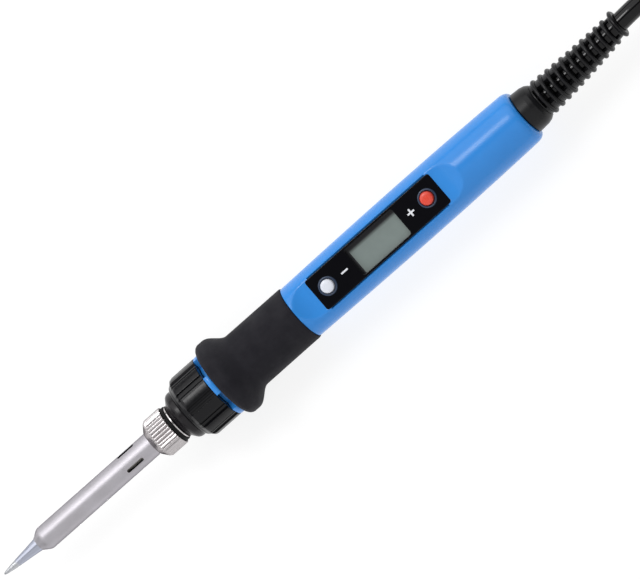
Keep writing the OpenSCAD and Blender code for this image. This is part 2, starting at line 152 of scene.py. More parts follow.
# Opal acrylic table, lit a little from below
paper, tree, shader, place = startMaterial("litOpalAcrylic")
shader.inputs["Base Color"].default_value = hexColour("#909090")
shader.inputs["Roughness"].default_value = 0.9
shader.inputs["Emission Color"].default_value = (1, 1, 1, 1)
shader.inputs["Emission Strength"].default_value = 0.8
floorMesh.materials.append(paper)
print("camera, lights and floor")


# The free cord and its hank

cordSizes = {
    "diameter": 6.2,
    "nearX": 190.0,  # centres of the hank's two round ends
    "farX": 283.0,
    "middleY": 15.0,
    "outerR": 25.0,
    "innerR": 18.7,
    "layers": (3.9, 10.2, 16.5),
    "leadRoute": [
        (128.4, 1.8, 13.5), (135, 2.1, 13.5), (141, 2.1, 13), (147, 1.5, 11.9), (153, 0.2, 10.2),
        (159, -1.9, 8.2), (165, -4.4, 6.3), (171, -6.8, 4.9), (177, -8.7, 4.1), (183, -9.8, 3.9),
        (190, -10, 3.9),
    ],
    "plugRoute": [
        (190, -10, 16.5), (196, -9.2, 16.6), (202, -7.1, 16.9), (208, -3.7, 17.6), (214, 0.6, 18.6),
        (220, 5, 19.7), (226, 9.1, 20.6), (232, 12.6, 21.1), (238, 14.5, 21.3), (244, 15, 21.3),
    ],
}


def eased(t):
    t = min(max(t, 0.0), 1.0)
    return (1 - math.cos(math.pi * t)) / 2


def hankRoute(sizes):
    low, middle, high = sizes["layers"]
    wide, slim = sizes["outerR"], sizes["innerR"]
    # radius at the start and end of the far bend and near bend, then height at four places round
    turns = [
        ((wide, wide, slim), (low, low, low, low)),
        ((slim, slim, slim), (low, low, middle, middle)),
        ((slim, wide, wide), (middle, middle, middle, middle)),
        ((wide, wide, wide), (middle, high, high, high)),
    ]
    span = sizes["farX"] - sizes["nearX"]
    points = []
    for (start, far, near), (z0, z1, z2, z3) in turns:
        for k in range(1, 7):
            t = k / 7
            z = z0 + (z1 - z0) * eased(1.3 * t - 0.3)
            points.append((sizes["nearX"] + span * t, sizes["middleY"] - start, z))
        for k in range(11):
            a, r = math.radians(18 * k - 90), start + (far - start) * eased(k / 10)
            points.append((sizes["farX"] + r * math.cos(a), sizes["middleY"] + r * math.sin(a), z1))
        for k in range(1, 7):
            t = k / 7
            points.append((sizes["farX"] - span * t, sizes["middleY"] + far, z1 + (z2 - z1) * eased(t)))
        for k in range(11):
            a, r = math.radians(18 * k + 90), far + (near - far) * eased(k / 10)
            points.append((sizes["nearX"] + r * math.cos(a), sizes["middleY"] + r * math.sin(a), z2))
    return points


def cordCurve(name, points, diameter):
    data = bpy.data.curves.new(name, "CURVE")
    data.dimensions = "3D"
    data.resolution_u = 6
    data.bevel_depth = diameter / 2 * mm
    data.bevel_resolution = 5
    data.use_fill_caps = True
    spline = data.splines.new("BEZIER")
    spline.bezier_points.add(len(points) - 1)
    for knot, point in zip(spline.bezier_points, points):
        knot.co = Vector(point) * mm
        knot.handle_left_type = knot.handle_right_type = "AUTO"
    cord = bpy.data.objects.new(name, data)
    bpy.context.scene.collection.objects.link(cord)
    return cord


cordPoints = cordSizes["leadRoute"] + hankRoute(cordSizes)[:-1] + cordSizes["plugRoute"]
mainsCord = cordCurve("mainsCord", cordPoints, cordSizes["diameter"])
print("cord of", round(mainsCord.data.splines[0].calc_length(), 3), "m")


# Materials

def noiseOf(tree, place, size, detail=4.0, stretch=(1, 1, 1)):
    mapped = addNode(tree, "ShaderNodeMapping", {"Vector": place, "Scale": stretch})
    return addNode(tree, "ShaderNodeTexNoise", {
        "Vector": mapped.outputs[0], "Scale": 1 / (size * mm), "Detail": detail, "Roughness": 0.6,
    }).outputs[0]


def ranged(tree, value, low, high, fromLow=0.3, fromHigh=0.7):
    return addNode(tree, "ShaderNodeMapRange", {
        "Value": value, "From Min": fromLow, "From Max": fromHigh, "To Min": low, "To Max": high,
    }).outputs[0]


def plastic(name, look):
    material, tree, shader, place = startMaterial(name)
    cloud = noiseOf(tree, place, look["cloud"], 3.0)
    mix = addNode(tree, "ShaderNodeMix", data_type="RGBA")
    tree.links.new(ranged(tree, cloud, 0.0, 1.0), mix.inputs[0])
    mix.inputs[6].default_value = hexColour(look["colour"])
    mix.inputs[7].default_value = hexColour(look["shade"])
    tree.links.new(mix.outputs[2], shader.inputs["Base Color"])
    low, high = look["roughness"]
    tree.links.new(ranged(tree, cloud, low, high), shader.inputs["Roughness"])
    grain = noiseOf(tree, place, look["grain"], 2.0)
    bump = addNode(tree, "ShaderNodeBump", {
        "Height": grain, "Distance": look["depth"] * mm, "Strength": 1.0,
    })
    tree.links.new(bump.outputs[0], shader.inputs["Normal"])
    shader.inputs["IOR"].default_value = look.get("ior", 1.5)
    shader.inputs["Sheen Weight"].default_value = look.get("sheen", 0.0)
    return material


def metal(name, look):
    material, tree, shader, place = startMaterial(name)
    lines = noiseOf(tree, place, look["line"], 5.0, look["stretch"])
    cloud = noiseOf(tree, place, look["cloud"], 3.0)
    mix = addNode(tree, "ShaderNodeMix", data_type="RGBA")
    tree.links.new(ranged(tree, cloud, 0.0, 1.0), mix.inputs[0])
    mix.inputs[6].default_value = hexColour(look["colour"])
    mix.inputs[7].default_value = hexColour(look["shade"])
    tree.links.new(mix.outputs[2], shader.inputs["Base Color"])
    low, high = look["roughness"]
    tree.links.new(ranged(tree, lines, low, high), shader.inputs["Roughness"])
    bump = addNode(tree, "ShaderNodeBump", {
        "Height": lines, "Distance": look["depth"] * mm, "Strength": 1.0,
    })
    tree.links.new(bump.outputs[0], shader.inputs["Normal"])
    shader.inputs["Metallic"].default_value = 1.0
    shader.inputs["Specular Tint"].default_value = hexColour(look["edge"])  # darker towards its outline
    return material


materials = {}
# Acrylonitrile butadiene styrene from a polished mould: even colour, clear soft highlight
materials["housing_blue"] = plastic("polishedBlueAbs", {
    "colour": "#3893e9", "shade": "#368fe4", "roughness": (0.2, 0.26), "cloud": 9, "grain": 0.9,
    "depth": 0.003, "ior": 1.42})
# Thermoplastic rubber with a spark-eroded mould texture: no highlight, a fine even grain
materials["grip_rubber"] = plastic("texturedGripRubber", {
    "colour": "#222127", "shade": "#1d1c22", "roughness": (0.72, 0.86), "cloud": 5, "grain": 0.32,
    "depth": 0.05, "ior": 1.3, "sheen": 0.03})
# Glass-filled nylon, semi-gloss: dark with narrow highlights on its lands
materials["collar_black"] = plastic("ribbedBlackNylon", {
    "colour": "#0c0c10", "shade": "#09090d", "roughness": (0.18, 0.26), "cloud": 3, "grain": 0.35,
    "depth": 0.006, "ior": 1.36})
# The same nylon from a smoother mould: a broad satin highlight
materials["neck_black"] = plastic("smoothBlackNylon", {
    "colour": "#161317", "shade": "#110f13", "roughness": (0.26, 0.34), "cloud": 4, "grain": 0.5,
    "depth": 0.005, "ior": 1.4})
# Washer behind the nut: dead black and matte
materials["washer_black"] = plastic("deadBlackWasher", {
    "colour": "#0c0c0e", "shade": "#09090b", "roughness": (0.6, 0.75), "cloud": 1.5, "grain": 0.3,
    "depth": 0.02, "ior": 1.3})
# Acrylic with a black back print: deep gloss
materials["panel_black"] = plastic("blackGlossAcrylic", {
    "colour": "#05050a", "shade": "#07070c", "roughness": (0.05, 0.08), "cloud": 6, "grain": 1.5,
    "depth": 0.0005, "ior": 1.4})
# Glossy collar round each button, coloured blue-grey all over: a painted highlight of its rim
materials["collar_ring"] = plastic("collarRingPaintedHighlight", {
    "colour": "#3c4a62", "shade": "#323f55", "roughness": (0.12, 0.18), "cloud": 2, "grain": 0.5,
    "depth": 0.001})
# White and red buttons in polished acetal: slightly milky gloss
materials["button_white"] = plastic("whiteAcetal", {
    "colour": "#eef1fa", "shade": "#e6ebf7", "roughness": (0.25, 0.32), "cloud": 2, "grain": 0.6,
    "depth": 0.003})
materials["button_red"] = plastic("redAcetal", {
    "colour": "#f0503c", "shade": "#e84a38", "roughness": (0.25, 0.32), "cloud": 2, "grain": 0.6,
    "depth": 0.003})
# Flexible PVC of the strain relief: dull with soft highlights on its rings
materials["relief_black"] = plastic("softReliefPvc", {
    "colour": "#0e0e12", "shade": "#0b0b0e", "roughness": (0.32, 0.42), "cloud": 4, "grain": 0.4,
    "depth": 0.008, "ior": 1.38})
# Extruded PVC cord sheath: glossy, with a faint orange-peel
materials["cord_black"] = plastic("glossyCordPvc", {
    "colour": "#070709", "shade": "#050507", "roughness": (0.08, 0.12), "cloud": 12, "grain": 1.2,
    "depth": 0.003, "ior": 1.38})
# Moulded PVC of the plug
materials["plug_black"] = plastic("mouldedPlugPvc", {
    "colour": "#141417", "shade": "#101013", "roughness": (0.36, 0.46), "cloud": 8, "grain": 0.5,
    "depth": 0.01, "ior": 1.42})
# Drawn stainless tube, satin from its turning: fine rings round the tube
materials["barrel_steel"] = metal("satinStainless", {
    "colour": "#c6c3c9", "shade": "#bebbc0", "roughness": (0.42, 0.52), "line": 0.5, "cloud": 7,
    "stretch": (4, 0.5, 0.5), "depth": 0.002, "edge": "#202024"})
# The barrel's bore, near-black and dull: painted shade that darkens what shows through the slots
materials["bore_oxide"] = plastic("boreBlackPaintedShade", {
    "colour": "#0b0a0a", "shade": "#121010", "roughness": (0.7, 0.85), "cloud": 2, "grain": 0.3,
    "depth": 0.01, "ior": 1.3})
# Bright nickel plate on turned brass
materials["nut_nickel"] = metal("brightNickel", {
    "colour": "#d6d1d2", "shade": "#cdc8c9", "roughness": (0.2, 0.28), "line": 0.4, "cloud": 3,
    "stretch": (1, 1, 1), "depth": 0.002, "edge": "#303034"})
materials["sleeve_nickel"] = metal("brightSleeveNickel", {
    "colour": "#d6d3d3", "shade": "#ccc8c8", "roughness": (0.12, 0.2), "line": 0.4, "cloud": 3,
    "stretch": (1, 1, 1), "depth": 0.002, "edge": "#303034"})


def tippedCopper():
    # Copper plated with iron and dull chrome, its point wetted with tin: brighter and lumpier there
    look = {"chrome": "#bbbfce", "tin": "#c8cace", "tinFull": -123.2, "tinNone": -121.8, "wander": 2.0}
    material, tree, shader, place = startMaterial("chromedTipWithTin")
    x = addNode(tree, "ShaderNodeSeparateXYZ", {0: place}).outputs[0]
    cloud = noiseOf(tree, place, 1.6, 4.0)
    wander = maths(tree, "MULTIPLY_ADD", cloud, look["wander"] * mm, x)  # so the tin's edge isn't straight
    tinned = ranged(tree, wander, 1.0, 0.0, look["tinFull"] * mm, look["tinNone"] * mm)
    mix = addNode(tree, "ShaderNodeMix", {0: tinned, 6: hexColour(look["chrome"]), 7: hexColour(look["tin"])},
                  data_type="RGBA")
    tree.links.new(mix.outputs[2], shader.inputs["Base Color"])
    tree.links.new(ranged(tree, tinned, 0.28, 0.2, 0, 1), shader.inputs["Roughness"])
    grain = maths(tree, "MULTIPLY", noiseOf(tree, place, 0.45), tinned)  # solder skin, drawn twice as coarse
    bump = addNode(tree, "ShaderNodeBump", {"Height": grain, "Distance": 0.12 * mm})
    tree.links.new(bump.outputs[0], shader.inputs["Normal"])
    shader.inputs["Metallic"].default_value = 1.0
    shader.inputs["Specular Tint"].default_value = hexColour("#303038")
    return material


def displayGlass():
    # Twisted-nematic display glass, unlit: grey-green field under a clear sheet, with near-black painted
    # shade of the window's walls along its tip-side edge and a soft painted shadow along its +Y edge
    look = {"field": "#86928f", "fieldShade": "#7f8b88", "paintedWallShade": "#15161c",
            "front": 1.35, "side": 1.3, "paintedShadowSoftness": 1.1}
    low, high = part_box("lcd_glass")
    material, tree, shader, place = startMaterial("unlitDisplayGlass")
    x, y, z = addNode(tree, "ShaderNodeSeparateXYZ", {0: place}).outputs
    # the field stops short of the tip-side edge and fades out before the +Y edge: the dark bands left there
    # are painted shade, soft painted shadow on the +Y side
    paintedShadowEdge = high.y - look["side"] * mm
    inside = maths(tree, "MULTIPLY", maths(tree, "GREATER_THAN", x, low.x + look["front"] * mm),
                   ranged(tree, y, 1.0, 0.0, paintedShadowEdge - look["paintedShadowSoftness"] * mm, paintedShadowEdge))
    cloud = noiseOf(tree, place, 7, 2.0)
    field = addNode(tree, "ShaderNodeMix", {
        0: ranged(tree, cloud, 0, 1), 6: hexColour(look["field"]), 7: hexColour(look["fieldShade"])},
        data_type="RGBA")
    mix = addNode(tree, "ShaderNodeMix", {
        0: inside, 6: hexColour(look["paintedWallShade"]), 7: field.outputs[2]}, data_type="RGBA")
    tree.links.new(mix.outputs[2], shader.inputs["Base Color"])
    tree.links.new(ranged(tree, cloud, 0.3, 0.36), shader.inputs["Roughness"])
    shader.inputs["Coat Weight"].default_value = 0.4
    shader.inputs["Coat Roughness"].default_value = 0.06
    return material


def wovenStrap():
    # Nylon hook-and-loop tape: a close weave along and across the strap
    look = {"colour": "#232326", "dark": "#141416", "thread": 0.6}
    material, tree, shader, place = startMaterial("wovenNylonTape")
    waves = []
    for direction in ("X", "Y"):
        wave = addNode(tree, "ShaderNodeTexWave", {
            "Vector": place, "Scale": 0.314 / (look["thread"] * mm), "Distortion": 0.6},
            wave_type="BANDS", bands_direction=direction)
        waves.append(wave.outputs[1])
    both = maths(tree, "MULTIPLY", *waves)
    mix = addNode(tree, "ShaderNodeMix", {0: both, 6: hexColour(look["dark"]), 7: hexColour(look["colour"])},
                  data_type="RGBA")
    tree.links.new(mix.outputs[2], shader.inputs["Base Color"])
    bump = addNode(tree, "ShaderNodeBump", {"Height": both, "Distance": 0.08 * mm})
    tree.links.new(bump.outputs[0], shader.inputs["Normal"])
    shader.inputs["Roughness"].default_value = 0.85
    shader.inputs["Sheen Weight"].default_value = 0.3
    return material


materials["tip_plating"] = tippedCopper()
materials["lcd_grey"] = displayGlass()
materials["tie_black"] = wovenStrap()

# Inner pieces, seen only when the iron is opened
insideLooks = {
    "alumina": ("sinteredAlumina", "#efece4", "#e4dfd2", 0.6),
    "terminal_green": ("greenNylonTerminal", "#2f7a46", "#296d3e", 0.4),
    "backlight_white": ("whiteDiffuserAcrylic", "#eeeeea", "#e6e6e0", 0.5),
    "plunger_ivory": ("ivoryNylonPlunger", "#e9e3cf", "#ded7c0", 0.5),
    "switch_grey": ("greySwitchNylon", "#55565a", "#4b4c50", 0.5),
    "board_green": ("glassEpoxyBoard", "#1f5a33", "#1a4d2b", 0.4),
    "chip_black": ("epoxyChipPackage", "#202022", "#1a1a1c", 0.6),
    "capacitor_blue": ("sleevedCapacitorCan", "#25304a", "#1e2840", 0.3),
    "capacitor_yellow": ("yellowFilmBox", "#d9b23a", "#cfa733", 0.4),
    "wire_brown": ("brownWirePvc", "#6b3d20", "#5f351b", 0.35),
    "wire_blue": ("blueWirePvc", "#2d5fb8", "#2855a6", 0.35),
    "wire_green_yellow": ("earthWirePvc", "#8fae2f", "#d4c52e", 0.35),
    "clamp_black": ("blackClampNylon", "#303034", "#28282b", 0.5),
}
for slotName, (name, colour, shade, rough) in insideLooks.items():
    materials[slotName] = plastic(name, {
        "colour": colour, "shade": shade, "roughness": (rough - 0.05, rough + 0.05), "cloud": 2,
        "grain": 0.4, "depth": 0.005})
materials["lead_wire"] = metal("nickelWire", {
    "colour": "#b8b8b4", "shade": "#acaca6", "roughness": (0.25, 0.35), "line": 0.3, "cloud": 2,
    "stretch": (1, 1, 1), "depth": 0.001, "edge": "#808080"})
materials["screw_steel"] = metal("zincPlatedSteel", {
    "colour": "#bcbec4", "shade": "#a9acb2", "roughness": (0.25, 0.38), "line": 0.3, "cloud": 1.5,
    "stretch": (1, 1, 1), "depth": 0.003, "edge": "#808080"})
materials["pin_brass"] = metal("nickelPlatedPin", {
    "colour": "#cdcac2", "shade": "#c0bcb2", "roughness": (0.16, 0.26), "line": 0.4, "cloud": 3,
    "stretch": (2, 1, 1), "depth": 0.002, "edge": "#606060"})

slotOf = {s["node"]: s["material_slot"] for s in frame["record"]["subparts"]}
for nodeName, nodeObject in nodes.items():
    nodeObject.data.materials.clear()
    nodeObject.data.materials.append(materials[slotOf[nodeName]])
print(len(materials), "materials")


# Mesh helpers

def rounded(points, radius, steps=4, closed=False):
    out = []
    for i, point in enumerate(points):
        here = Vector(point)
        if not closed and i in (0, len(points) - 1):
            out.append(tuple(here))
            continue
        before = Vector(points[i - 1]) - here
        after = Vector(points[(i + 1) % len(points)]) - here
        angle = before.angle(after)
        if angle > math.radians(172):
            out.append(tuple(here))
            continue
        cut = min(radius / math.tan(angle / 2), 0.45 * before.length, 0.45 * after.length)
        first, last = here + before.normalized() * cut, here + after.normalized() * cut
        for k in range(steps + 1):
            t = k / steps
            out.append(tuple(first.lerp(here, t).lerp(here.lerp(last, t), t)))
    return out


def placed(x, angle, radius, side=0.0):
    return Vector((x * mm, (side + radius * math.sin(angle)) * mm, axisZ + radius * math.cos(angle) * mm))


def sharpened(mesh, angle=50):
    limit = math.radians(angle)
    bm = bmesh.new()
    bm.from_mesh(mesh)
    for face in bm.faces:
        face.smooth = True
    for edge in bm.edges:
        edge.smooth = len(edge.link_faces) == 2 and edge.calc_face_angle(0) < limit
    bm.to_mesh(mesh)
    bm.free()


def madePiece(name, source, slotName, body, *replaced):
    if isinstance(source, bmesh.types.BMesh):
        bmesh.ops.remove_doubles(source, verts=source.verts, dist=1e-7)
        bmesh.ops.recalc_face_normals(source, faces=source.faces)
        mesh = bpy.data.meshes.new(name)
        source.to_mesh(mesh)
        source.free()
    else:
        mesh = source
        mesh.name = name
    sharpened(mesh)
    mesh.materials.clear()
    mesh.materials.append(materials[slotName])
    piece = bpy.data.objects.new(name, mesh)
    bpy.context.scene.collection.objects.link(piece)
    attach(piece, body)
    if replaced:
        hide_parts(*replaced)
    return piece


def turned(profile, segments=144, closed=True):
    bm = bmesh.new()
    rings = []
    for x, r in profile:
        if r < 1e-6:
            rings.append([bm.verts.new(placed(x, 0, 0))])
        else:
            rings.append([bm.verts.new(placed(x, math.tau * k / segments, r)) for k in range(segments)])
    pairs = list(zip(rings, rings[1:] + ([rings[0]] if closed else [])))
    for a, b in pairs:
        for k in range(segments):
            n = (k + 1) % segments
            if len(a) == 1 and len(b) == 1:
                continue
            if len(a) == 1:
                bm.faces.new((a[0], b[n], b[k]))
            elif len(b) == 1:
                bm.faces.new((a[k], a[n], b[0]))
            else:
                bm.faces.new((a[k], a[n], b[n], b[k]))
    return bm


def shellGrid(stations, angles, outer, inner, solid, side=lambda x: 0.0, wrap=True):
    bm = bmesh.new()
    skins = [
        [[bm.verts.new(placed(x, a, radius(x, a), side(x))) for a in angles] for x in stations]
        for radius in (outer, inner)
    ]
    rows, count = len(stations) - 1, len(angles)
    cols = count if wrap else count - 1
    mask = [[solid(i, j) for j in range(cols)] for i in range(rows)]

    def filled(i, j):
        if wrap:
            j %= cols
        return 0 <= i < rows and 0 <= j < cols and mask[i][j]

    o, s = skins
    for i in range(rows):
        for j in range(cols):
            if not mask[i][j]:
                continue
            k, m = (j + 1) % count, i + 1
            bm.faces.new((o[i][j], o[m][j], o[m][k], o[i][k]))
            bm.faces.new((s[i][j], s[i][k], s[m][k], s[m][j]))
            if not filled(i - 1, j):
                bm.faces.new((o[i][j], o[i][k], s[i][k], s[i][j]))
            if not filled(i + 1, j):
                bm.faces.new((o[m][j], s[m][j], s[m][k], o[m][k]))
            if not filled(i, j - 1):
                bm.faces.new((o[i][j], s[i][j], s[m][j], o[m][j]))
            if not filled(i, j + 1):
                bm.faces.new((o[i][k], o[m][k], s[m][k], s[i][k]))
    loose = [v for v in bm.verts if not v.link_faces]
    bmesh.ops.delete(bm, geom=loose, context="VERTS")
    return bm


def denser(profile, step):
    out = []
    for a, b in zip(profile, profile[1:] + profile[:1]):
        parts = max(1, round(math.hypot(b[0] - a[0], b[1] - a[1]) / step))
        out += [(a[0] + (b[0] - a[0]) * k / parts, a[1] + (b[1] - a[1]) * k / parts) for k in range(parts)]
    return out


def spread(low, high, step):
    count = max(1, round((high - low) / step))
    return [low + (high - low) * i / count for i in range(count + 1)]


def evaluatedMesh(source, tree, values):
    modifier = source.modifiers.new("shape", "NODES")
    modifier.node_group = tree
    for item in tree.interface.items_tree:
        if item.item_type == "SOCKET" and item.in_out == "INPUT" and item.name in values:
            modifier[item.identifier] = values[item.name]
    bpy.context.view_layer.update()
    mesh = bpy.data.meshes.new_from_object(source.evaluated_get(bpy.context.evaluated_depsgraph_get()))
    source.modifiers.clear()
    bpy.data.objects.remove(source)
    return mesh


def startTree(name, inputs):
    tree = bpy.data.node_groups.new(name, "GeometryNodeTree")
    tree.interface.new_socket("Geometry", in_out="INPUT", socket_type="NodeSocketGeometry")
    for label, (kind, value) in inputs.items():
        socket = tree.interface.new_socket(label, in_out="INPUT", socket_type=kind)
        if value is not None:
            socket.default_value = value
    tree.interface.new_socket("Geometry", in_out="OUTPUT", socket_type="NodeSocketGeometry")
    return tree, addNode(tree, "NodeGroupInput").outputs


def endTree(tree, geometry, material):
    real = addNode(tree, "GeometryNodeRealizeInstances", {0: geometry})
    coated = addNode(tree, "GeometryNodeSetMaterial", {"Geometry": real.outputs[0], "Material": material})
    addNode(tree, "NodeGroupOutput", {0: coated.outputs[0]})


def looseObject(name, bm):
    mesh = bpy.data.meshes.new(name)
    bmesh.ops.remove_doubles(bm, verts=bm.verts, dist=1e-7)
    bmesh.ops.recalc_face_normals(bm, faces=bm.faces)
    bm.to_mesh(mesh)
    bm.free()
    source = bpy.data.objects.new(name, mesh)
    bpy.context.scene.collection.objects.link(source)
    return source


# Tip and barrel

tipShape = {"apex": -129.0, "pointR": 0.7, "noseX": -114.7, "stemR": 2.2, "shankR": 3.2, "boreR": 2.1,
            "boreEnd": -109.5, "rearX": -85.0}


def makeTip(s):
    profile = rounded([
        (s["apex"], 0.0), (s["apex"], 0.22), (s["apex"] + 0.7, 0.5), (s["apex"] + 1.8, s["pointR"]),
        (s["apex"] + 3.6, 0.96), (s["apex"] + 5.3, 1.15), (s["apex"] + 5.6, 1.22), (s["apex"] + 10.5, 1.73),
        (s["apex"] + 13.6, 2.12),
        (s["noseX"], s["stemR"]), (s["noseX"] + 3.9, s["stemR"]), (s["noseX"] + 4.8, s["shankR"]),
        (s["rearX"], s["shankR"]), (s["rearX"], s["boreR"]), (s["boreEnd"], s["boreR"]), (s["boreEnd"], 0.0),
    ], 0.35)
    return madePiece("solderingTip", turned(profile, 96, closed=False), "tip_plating", "barrel", "tip")


barrelShape = {
    "noseX": -114.7, "noseR": 2.4, "noseLength": 3.3, "outerR": 4.0, "wall": 0.65, "rearX": -64.3,
    "slotX": -74.85, "slotLength": 6.5, "slotColumns": 14, "slotAngle": -27.0,
}


def makeBarrel(s):
    step = 1.25
    first = s["slotAngle"] - s["slotColumns"] / 2 * step
    angles = [math.radians(first + step * k) for k in range(288)]
    front, back = s["slotX"] - s["slotLength"] / 2, s["slotX"] + s["slotLength"] / 2
    noseEnd = s["noseX"] + s["noseLength"]
    stations = spread(s["noseX"], noseEnd, 0.22) + spread(noseEnd + 2, front - 0.5, 6)
    stations += spread(front, back, 0.1) + spread(back + 0.5, s["rearX"], 3)

    def outer(x, a):
        t = min(max((x - s["noseX"]) / s["noseLength"], 0), 1)
        return s["noseR"] + (s["outerR"] - s["noseR"]) * math.sin(math.radians(90 * t)) ** 1.2

    def inner(x, a):
        return min(max(outer(x, a) - s["wall"], s["noseR"] - 0.05), s["outerR"] - s["wall"])

    def solid(i, j):
        middle = (stations[i] + stations[i + 1]) / 2
        fromEnd = min(middle - front, back - middle)
        if fromEnd < 0:
            return True
        half = s["slotColumns"] / 2
        reach = half if fromEnd > 0.6 else half * math.sqrt(1 - (1 - fromEnd / 0.6) ** 2)
        return abs((j % 72) + 0.5 - half) >= reach or (j % 72) >= s["slotColumns"]

    bm = shellGrid(stations, angles, outer, inner, solid)
    flangeOutline = [(-64.35, 3.35), (-64.35, 5.2), (-63.0, 5.2), (-63.0, 3.35)]
    flange = turned(rounded(flangeOutline, 0.12, closed=True), 96)
    extra = bpy.data.meshes.new("flange")
    flange.to_mesh(extra)
    flange.free()
    bm.from_mesh(extra)
    bpy.data.meshes.remove(extra)
    tube = madePiece("barrelTube", bm, "barrel_steel", "barrel", "barrel")
    # the bore's faces take the near-black painted shade, so the slots look dark
    tube.data.materials.append(materials["bore_oxide"])
    for face in tube.data.polygons:
        reach = math.hypot(face.center.y, face.center.z - axisZ) / mm
        along = face.center.x / mm
        face.material_index = int(reach < s["outerR"] - 0.2 and noseEnd < along < s["rearX"] - 0.5)
    return tube


makeTip(tipShape)
makeBarrel(barrelShape)
print("tip and barrel")


# Knurled nut

nutShape = {"Ridges": 36.0, "Radius": 6.95 * mm, "Groove": 0.42 * mm, "Land": 0.22}
nutOutline = [
    (-66.8, 4.15), (-66.8, 4.5), (-65.2, 6.45), (-64.5, 6.95), (-58.6, 6.95), (-58.4, 6.75), (-58.4, 5.55),
    (-64.5, 5.55), (-64.5, 4.15),
]


def radialCutTree(name, inputs, limitOf):
    tree, given = startTree(name, inputs)
    position = addNode(tree, "GeometryNodeInputPosition").outputs[0]
    x, y, z = addNode(tree, "ShaderNodeSeparateXYZ", {0: position}).outputs
    up = maths(tree, "SUBTRACT", z, axisZ)
    squares = maths(tree, "ADD", maths(tree, "MULTIPLY", y, y), maths(tree, "MULTIPLY", up, up))
    radius = maths(tree, "SQRT", squares)
    turn = maths(tree, "DIVIDE", maths(tree, "ARCTAN2", y, up), math.tau)
    limit = limitOf(tree, given, turn, x)
    scale = maths(tree, "DIVIDE", maths(tree, "SMOOTH_MIN", radius, limit, 0.00004), radius)
    moved = addNode(tree, "ShaderNodeCombineXYZ", {
        0: x, 1: maths(tree, "MULTIPLY", y, scale), 2: maths(tree, "MULTIPLY_ADD", up, scale, axisZ)})
    return tree, addNode(tree, "GeometryNodeSetPosition", {
        "Geometry": given["Geometry"], "Position": moved.outputs[0]}).outputs[0]


def knurlLimit(tree, given, turn, x):
    phase = maths(tree, "PINGPONG", maths(tree, "MULTIPLY", turn, given["Ridges"]), 0.5)
    ramp = maths(tree, "MULTIPLY", phase, 2.0)
    depth = ranged(tree, ramp, 0.0, given["Groove"], given["Land"], 1.0)
    return maths(tree, "SUBTRACT", given["Radius"], depth)


def makeNut():
    profile = denser(rounded(nutOutline, 0.15, closed=True), 0.7)
    tree, geometry = radialCutTree("straightKnurl", {
        "Ridges": ("NodeSocketFloat", 36.0), "Radius": ("NodeSocketFloat", 0.0065),
        "Groove": ("NodeSocketFloat", 0.0004), "Land": ("NodeSocketFloat", 0.3)}, knurlLimit)
    endTree(tree, geometry, materials["nut_nickel"])
    mesh = evaluatedMesh(looseObject("nutBlank", turned(profile, 504)), tree, nutShape)
    return madePiece("knurledNut", mesh, "nut_nickel", "nut", "knurled_nut")


makeNut()


# Threaded sleeve and its bright ring

sleeveShape = {"front": -62.9, "ringFront": -57.2, "ringBack": -56.6, "rear": -44.0, "boreR": 4.2,
               "rootR": 5.0, "ringR": 6.1}
threadShape = {"Turns": 5.6, "Radius": 5.02 * mm, "Pitch": 0.75 * mm, "Depth": 0.36 * mm}
threadStart = -62.7


def makeSleeve(s):
    profile = rounded([
        (s["front"], s["boreR"]), (s["front"], s["rootR"]), (s["ringFront"], s["rootR"]),
        (s["ringFront"], s["ringR"]), (s["ringBack"], s["ringR"]), (s["ringBack"], 5.4), (s["rear"], 5.4),
        (s["rear"], s["boreR"]),
    ], 0.22, closed=True)
    return madePiece("nutSleeve", turned(profile, 160), "sleeve_nickel", "handle", "threaded_sleeve")


def makeThread():
    tree, given = startTree("maleThread", {
        "Turns": ("NodeSocketFloat", 5.6), "Radius": ("NodeSocketFloat", 0.005),
        "Pitch": ("NodeSocketFloat", 0.00075), "Depth": ("NodeSocketFloat", 0.0004)})
    height = maths(tree, "MULTIPLY", given["Turns"], given["Pitch"])
    spiral = addNode(tree, "GeometryNodeCurveSpiral", {
        "Resolution": 72, "Rotations": given["Turns"], "Start Radius": given["Radius"],
        "End Radius": given["Radius"], "Height": height}).outputs[0]
    outline = addNode(tree, "GeometryNodeCurvePrimitiveCircle", {
        "Resolution": 3, "Radius": given["Depth"]}).outputs[0]
    ridge = addNode(tree, "GeometryNodeCurveToMesh", {
        "Curve": spiral, "Profile Curve": outline, "Fill Caps": True})
    laid = addNode(tree, "GeometryNodeTransform", {
        "Geometry": ridge.outputs[0], "Translation": (threadStart * mm, 0, axisZ),
        "Rotation": (0, math.pi / 2, 0)}).outputs[0]
    endTree(tree, laid, materials["sleeve_nickel"])
    blank = bpy.data.objects.new("threadBlank", bpy.data.meshes.new("threadBlank"))
    bpy.context.scene.collection.objects.link(blank)
    mesh = evaluatedMesh(blank, tree, threadShape)
    return madePiece("sleeveThread", mesh, "sleeve_nickel", "handle")


makeSleeve(sleeveShape)
makeThread()
print("nut and sleeve")


# Neck, ribbed collar and grip

neckOutline = [
    (-56.5, 5.45), (-56.5, 5.7), (-56.1, 6.0), (-54.5, 8.05), (-53.9, 8.4), (-53.3, 8.5), (-52.1, 8.5),
    (-52.1, 8.0), (-42.0, 8.0), (-42.0, 5.45),
]
neckMesh = turned(rounded(neckOutline, 0.5, 6, closed=True), 160)
madePiece("neckCone", neckMesh, "neck_black", "handle", "front_neck")

collarShape = {"Lands": 12.0, "Radius": 11.15 * mm, "Recess": 0.7 * mm, "Offset": 8.0 / 360,
               "Start": -50.2 * mm}
collarOutline = [
    (-52.0, 8.05), (-52.0, 8.9), (-51.6, 9.45), (-50.9, 9.9), (-50.5, 10.35), (-49.9, 10.95), (-49.1, 11.15),
    (-40.0, 11.15), (-40.0, 8.05),
]


